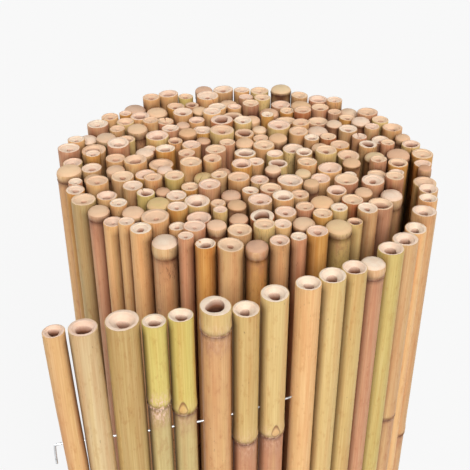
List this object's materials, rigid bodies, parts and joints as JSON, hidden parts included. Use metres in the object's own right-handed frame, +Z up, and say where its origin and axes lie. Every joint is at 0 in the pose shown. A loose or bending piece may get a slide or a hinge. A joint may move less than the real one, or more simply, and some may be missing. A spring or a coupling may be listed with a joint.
{
  "type": "rolled bamboo fence panel",
  "caption": "Bamboo cane fence panel, rolled up and standing on end: round canes strung side by side on wires, with its loose end open across the front.",
  "frame": {"origin": "under the middle of the roll's box, on the floor it stands on", "axes": "+Z up along the canes, -Y towards the loose end at the front, +X to the right"},
  "size_m": [0.2388, 0.2882, 1.004],
  "materials": {
    "tan_cane": "satin bamboo skin",
    "straw_cane": "satin bamboo skin",
    "green_cane": "satin bamboo skin",
    "wire": "galvanised"
  },
  "bodies": {
    "root": {"cane_01": "straw_cane", "cane_02": "straw_cane", "cane_03": "green_cane", "cane_04": "green_cane", "cane_05": "green_cane", "cane_06": "tan_cane", "cane_07": "straw_cane", "cane_08": "green_cane", "cane_09": "straw_cane", "cane_10": "tan_cane", "cane_11": "straw_cane", "cane_12": "straw_cane", "cane_13": "green_cane", "cane_14": "tan_cane", "cane_15": "tan_cane", "cane_16": "green_cane", "cane_17": "tan_cane", "cane_18": "green_cane", "cane_19": "tan_cane", "cane_20": "tan_cane", "cane_21": "straw_cane", "cane_22": "tan_cane", "cane_23": "green_cane", "cane_24": "tan_cane", "cane_25": "tan_cane", "cane_26": "straw_cane", "cane_27": "tan_cane", "cane_28": "green_cane", "cane_29": "tan_cane", "cane_30": "tan_cane", "cane_31": "straw_cane", "cane_32": "tan_cane", "cane_33": "green_cane", "cane_34": "tan_cane", "cane_35": "tan_cane", "cane_36": "straw_cane", "cane_37": "tan_cane", "cane_38": "green_cane", "cane_39": "tan_cane", "cane_40": "tan_cane", "cane_41": "straw_cane", "cane_42": "tan_cane", "cane_43": "green_cane", "cane_44": "tan_cane", "cane_45": "tan_cane", "cane_46": "straw_cane", "cane_47": "tan_cane", "cane_48": "green_cane", "cane_49": "tan_cane", "cane_50": "tan_cane", "second_turn_canes": "tan_cane", "third_turn_canes": "straw_cane", "fourth_turn_canes": "tan_cane", "fifth_turn_canes": "straw_cane", "sixth_turn_canes": "tan_cane", "core_canes": "straw_cane", "top_wire": "wire", "middle_wire": "wire", "bottom_wire": "wire"}
  },
  "joints": []
}
